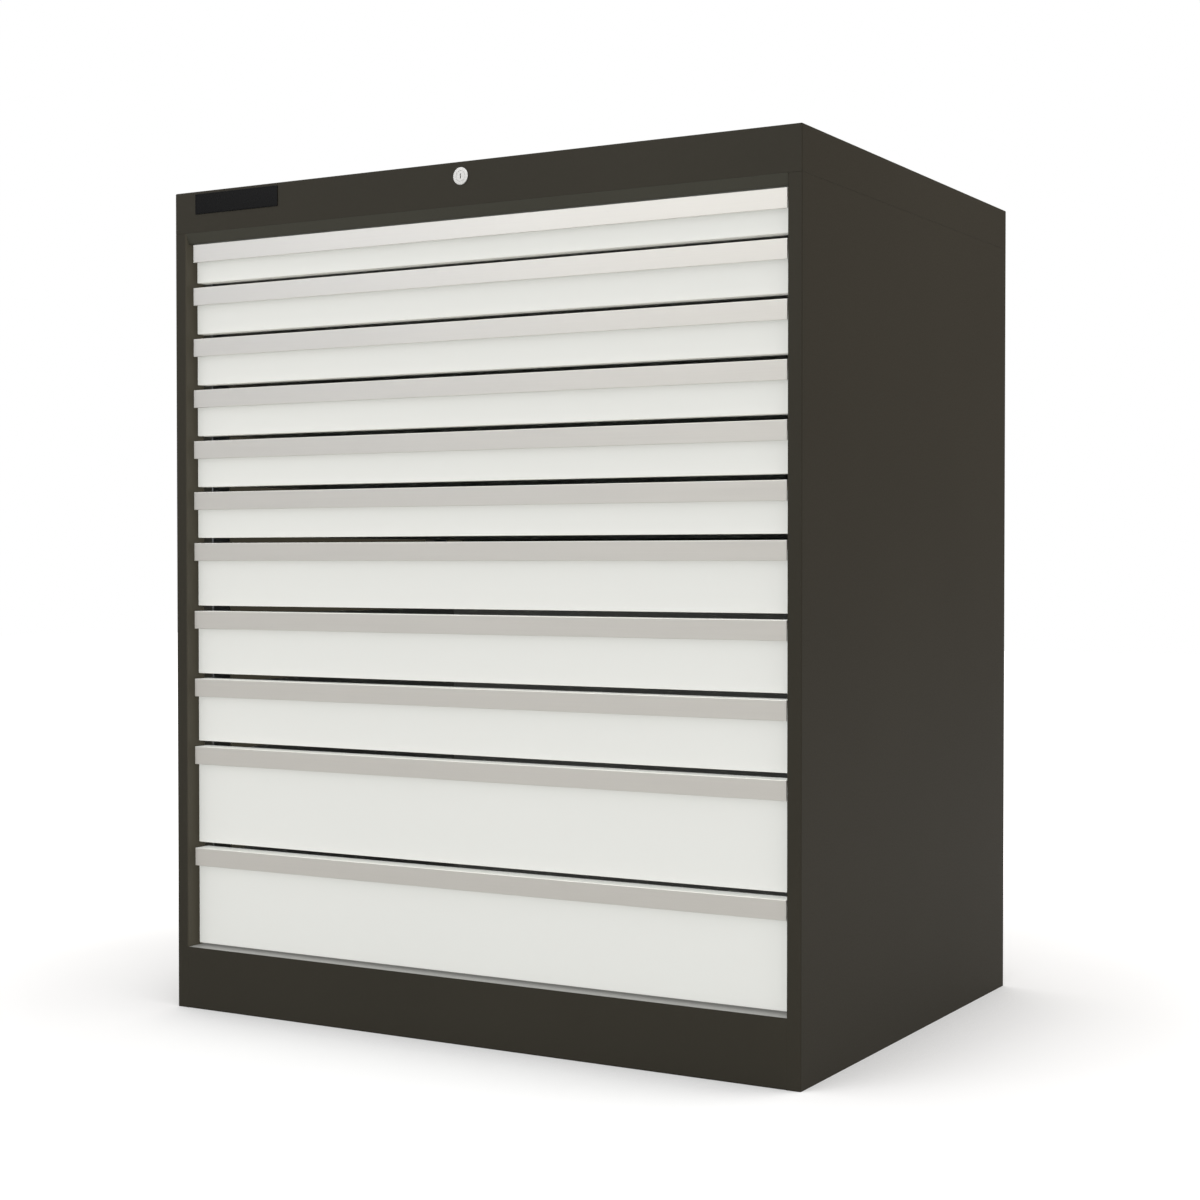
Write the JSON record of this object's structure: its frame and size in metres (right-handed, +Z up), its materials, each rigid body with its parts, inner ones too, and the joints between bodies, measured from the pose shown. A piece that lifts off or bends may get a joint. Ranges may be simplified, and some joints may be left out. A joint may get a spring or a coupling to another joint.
{
  "type": "heavy-duty drawer cabinet",
  "caption": "Free-standing sheet-steel cabinet with full-width drawers on telescopic roller slides, aluminium handle rails and a central cylinder lock.",
  "frame": {"origin": "on the floor under the middle of the cabinet", "axes": "+Z up, -Y towards the person in front of the drawers, +X to that person's right"},
  "size_m": [1.01, 0.758, 1.2],
  "materials": {
    "housing_paint": "dark charcoal powder coat, fine texture, low sheen",
    "front_paint": "off-white powder coat, smooth, satin",
    "handle_aluminium": "satin anodised, drawn along its length",
    "tray_paint": "light grey powder coat, satin",
    "zinc_steel": "bright zinc plate",
    "lock_chrome": "satin nickel-chrome plate",
    "plate_black": "glossy black, blank"
  },
  "bodies": {
    "housing": {"side_panel_right": "housing_paint", "side_panel_left": "housing_paint", "back_panel": "housing_paint", "back_rivets": "zinc_steel", "top_cap": "housing_paint", "base_pan": "housing_paint", "front_header": "housing_paint", "upright_posts": "zinc_steel", "cabinet_rails": "zinc_steel", "name_plate": "plate_black", "lock_housing": "lock_chrome", "linkage_screws": "zinc_steel"},
    "drawer_01": {"drawer_01_tray": "tray_paint", "drawer_01_front": "front_paint", "drawer_01_handle": "handle_aluminium"},
    "slides_01": {"drawer_01_slides": "zinc_steel"},
    "drawer_02": {"drawer_02_tray": "tray_paint", "drawer_02_front": "front_paint", "drawer_02_handle": "handle_aluminium"},
    "slides_02": {"drawer_02_slides": "zinc_steel"},
    "drawer_03": {"drawer_03_tray": "tray_paint", "drawer_03_front": "front_paint", "drawer_03_handle": "handle_aluminium"},
    "slides_03": {"drawer_03_slides": "zinc_steel"},
    "drawer_04": {"drawer_04_tray": "tray_paint", "drawer_04_front": "front_paint", "drawer_04_handle": "handle_aluminium"},
    "slides_04": {"drawer_04_slides": "zinc_steel"},
    "drawer_05": {"drawer_05_tray": "tray_paint", "drawer_05_front": "front_paint", "drawer_05_handle": "handle_aluminium"},
    "slides_05": {"drawer_05_slides": "zinc_steel"},
    "drawer_06": {"drawer_06_tray": "tray_paint", "drawer_06_front": "front_paint", "drawer_06_handle": "handle_aluminium"},
    "slides_06": {"drawer_06_slides": "zinc_steel"},
    "drawer_07": {"drawer_07_tray": "tray_paint", "drawer_07_front": "front_paint", "drawer_07_handle": "handle_aluminium"},
    "slides_07": {"drawer_07_slides": "zinc_steel"},
    "drawer_08": {"drawer_08_tray": "tray_paint", "drawer_08_front": "front_paint", "drawer_08_handle": "handle_aluminium"},
    "slides_08": {"drawer_08_slides": "zinc_steel"},
    "drawer_09": {"drawer_09_tray": "tray_paint", "drawer_09_front": "front_paint", "drawer_09_handle": "handle_aluminium"},
    "slides_09": {"drawer_09_slides": "zinc_steel"},
    "drawer_10": {"drawer_10_tray": "tray_paint", "drawer_10_front": "front_paint", "drawer_10_handle": "handle_aluminium"},
    "slides_10": {"drawer_10_slides": "zinc_steel"},
    "drawer_11": {"drawer_11_tray": "tray_paint", "drawer_11_front": "front_paint", "drawer_11_handle": "handle_aluminium"},
    "slides_11": {"drawer_11_slides": "zinc_steel"},
    "lock_plug": {"lock_plug": "lock_chrome"},
    "lock_crossbar": {"lock_crossbar": "zinc_steel"},
    "lock_crank": {"lock_crank": "zinc_steel"},
    "lock_bar": {"lock_bar": "zinc_steel"}
  },
  "joints": [
    {"name": "drawer_01_slide", "type": "slide", "parent": "housing", "child": "drawer_01", "axis": [0, -1, 0], "range_m": [0, 0.6121]},
    {"name": "slides_01_travel", "type": "slide", "parent": "housing", "child": "slides_01", "axis": [0, -1, 0], "range_m": [0, 0.30605]},
    {"name": "drawer_02_slide", "type": "slide", "parent": "housing", "child": "drawer_02", "axis": [0, -1, 0], "range_m": [0, 0.6121]},
    {"name": "slides_02_travel", "type": "slide", "parent": "housing", "child": "slides_02", "axis": [0, -1, 0], "range_m": [0, 0.30605]},
    {"name": "drawer_03_slide", "type": "slide", "parent": "housing", "child": "drawer_03", "axis": [0, -1, 0], "range_m": [0, 0.6121]},
    {"name": "slides_03_travel", "type": "slide", "parent": "housing", "child": "slides_03", "axis": [0, -1, 0], "range_m": [0, 0.30605]},
    {"name": "drawer_04_slide", "type": "slide", "parent": "housing", "child": "drawer_04", "axis": [0, -1, 0], "range_m": [0, 0.6121]},
    {"name": "slides_04_travel", "type": "slide", "parent": "housing", "child": "slides_04", "axis": [0, -1, 0], "range_m": [0, 0.30605]},
    {"name": "drawer_05_slide", "type": "slide", "parent": "housing", "child": "drawer_05", "axis": [0, -1, 0], "range_m": [0, 0.6121]},
    {"name": "slides_05_travel", "type": "slide", "parent": "housing", "child": "slides_05", "axis": [0, -1, 0], "range_m": [0, 0.30605]},
    {"name": "drawer_06_slide", "type": "slide", "parent": "housing", "child": "drawer_06", "axis": [0, -1, 0], "range_m": [0, 0.6121]},
    {"name": "slides_06_travel", "type": "slide", "parent": "housing", "child": "slides_06", "axis": [0, -1, 0], "range_m": [0, 0.30605]},
    {"name": "drawer_07_slide", "type": "slide", "parent": "housing", "child": "drawer_07", "axis": [0, -1, 0], "range_m": [0, 0.6121]},
    {"name": "slides_07_travel", "type": "slide", "parent": "housing", "child": "slides_07", "axis": [0, -1, 0], "range_m": [0, 0.30605]},
    {"name": "drawer_08_slide", "type": "slide", "parent": "housing", "child": "drawer_08", "axis": [0, -1, 0], "range_m": [0, 0.6121]},
    {"name": "slides_08_travel", "type": "slide", "parent": "housing", "child": "slides_08", "axis": [0, -1, 0], "range_m": [0, 0.30605]},
    {"name": "drawer_09_slide", "type": "slide", "parent": "housing", "child": "drawer_09", "axis": [0, -1, 0], "range_m": [0, 0.6121]},
    {"name": "slides_09_travel", "type": "slide", "parent": "housing", "child": "slides_09", "axis": [0, -1, 0], "range_m": [0, 0.30605]},
    {"name": "drawer_10_slide", "type": "slide", "parent": "housing", "child": "drawer_10", "axis": [0, -1, 0], "range_m": [0, 0.6121]},
    {"name": "slides_10_travel", "type": "slide", "parent": "housing", "child": "slides_10", "axis": [0, -1, 0], "range_m": [0, 0.30605]},
    {"name": "drawer_11_slide", "type": "slide", "parent": "housing", "child": "drawer_11", "axis": [0, -1, 0], "range_m": [0, 0.6121]},
    {"name": "slides_11_travel", "type": "slide", "parent": "housing", "child": "slides_11", "axis": [0, -1, 0], "range_m": [0, 0.30605]},
    {"name": "lock_turn", "type": "hinge", "parent": "housing", "child": "lock_plug", "pos_m": [0, -0.3775, 1.18], "axis": [0, 1, 0], "range_deg": [0, 90]},
    {"name": "crossbar_shift", "type": "slide", "parent": "housing", "child": "lock_crossbar", "axis": [-1, 0, 0], "range_m": [0, 0.01131]},
    {"name": "crank_swing", "type": "hinge", "parent": "housing", "child": "lock_crank", "pos_m": [0.47, -0.3375, 1.146], "axis": [0, -1, 0], "range_deg": [0, 36.63]},
    {"name": "lock_bar_lift", "type": "slide", "parent": "housing", "child": "lock_bar", "axis": [0, 0, 1], "range_m": [0, 0.00754]}
  ],
  "couplings": [
    {"joint": "slides_01_travel", "follows": "drawer_01_slide", "ratio": 0.5},
    {"joint": "slides_02_travel", "follows": "drawer_02_slide", "ratio": 0.5},
    {"joint": "slides_03_travel", "follows": "drawer_03_slide", "ratio": 0.5},
    {"joint": "slides_04_travel", "follows": "drawer_04_slide", "ratio": 0.5},
    {"joint": "slides_05_travel", "follows": "drawer_05_slide", "ratio": 0.5},
    {"joint": "slides_06_travel", "follows": "drawer_06_slide", "ratio": 0.5},
    {"joint": "slides_07_travel", "follows": "drawer_07_slide", "ratio": 0.5},
    {"joint": "slides_08_travel", "follows": "drawer_08_slide", "ratio": 0.5},
    {"joint": "slides_09_travel", "follows": "drawer_09_slide", "ratio": 0.5},
    {"joint": "slides_10_travel", "follows": "drawer_10_slide", "ratio": 0.5},
    {"joint": "slides_11_travel", "follows": "drawer_11_slide", "ratio": 0.5},
    {"joint": "lock_turn", "follows": "lock_bar_lift", "rad_per_m": 208.26},
    {"joint": "crossbar_shift", "follows": "lock_bar_lift", "ratio": 1.5},
    {"joint": "crank_swing", "follows": "lock_bar_lift", "rad_per_m": 84.77}
  ]
}
